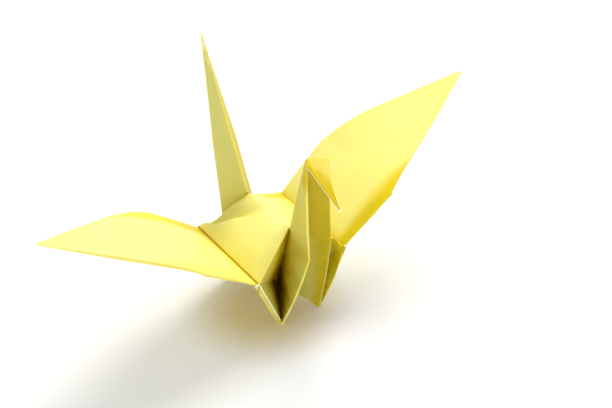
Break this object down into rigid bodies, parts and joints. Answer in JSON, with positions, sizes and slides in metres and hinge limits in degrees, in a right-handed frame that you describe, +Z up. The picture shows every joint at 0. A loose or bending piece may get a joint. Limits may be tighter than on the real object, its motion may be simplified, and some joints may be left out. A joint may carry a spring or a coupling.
{
  "type": "origami crane",
  "caption": "Folded paper crane with arched wings, a puffed square body, a narrow upright tail and a bent neck with a pointed head.",
  "frame": {"origin": "on the table, under the middle of the bounding box", "axes": "+X towards the beak, +Y towards the bird's left wing, +Z up"},
  "size_m": [0.0674, 0.13, 0.0724],
  "materials": {
    "paper": "matt yellow craft paper, uncoated"
  },
  "bodies": {
    "root": {"folded_crane": "paper"}
  },
  "joints": []
}
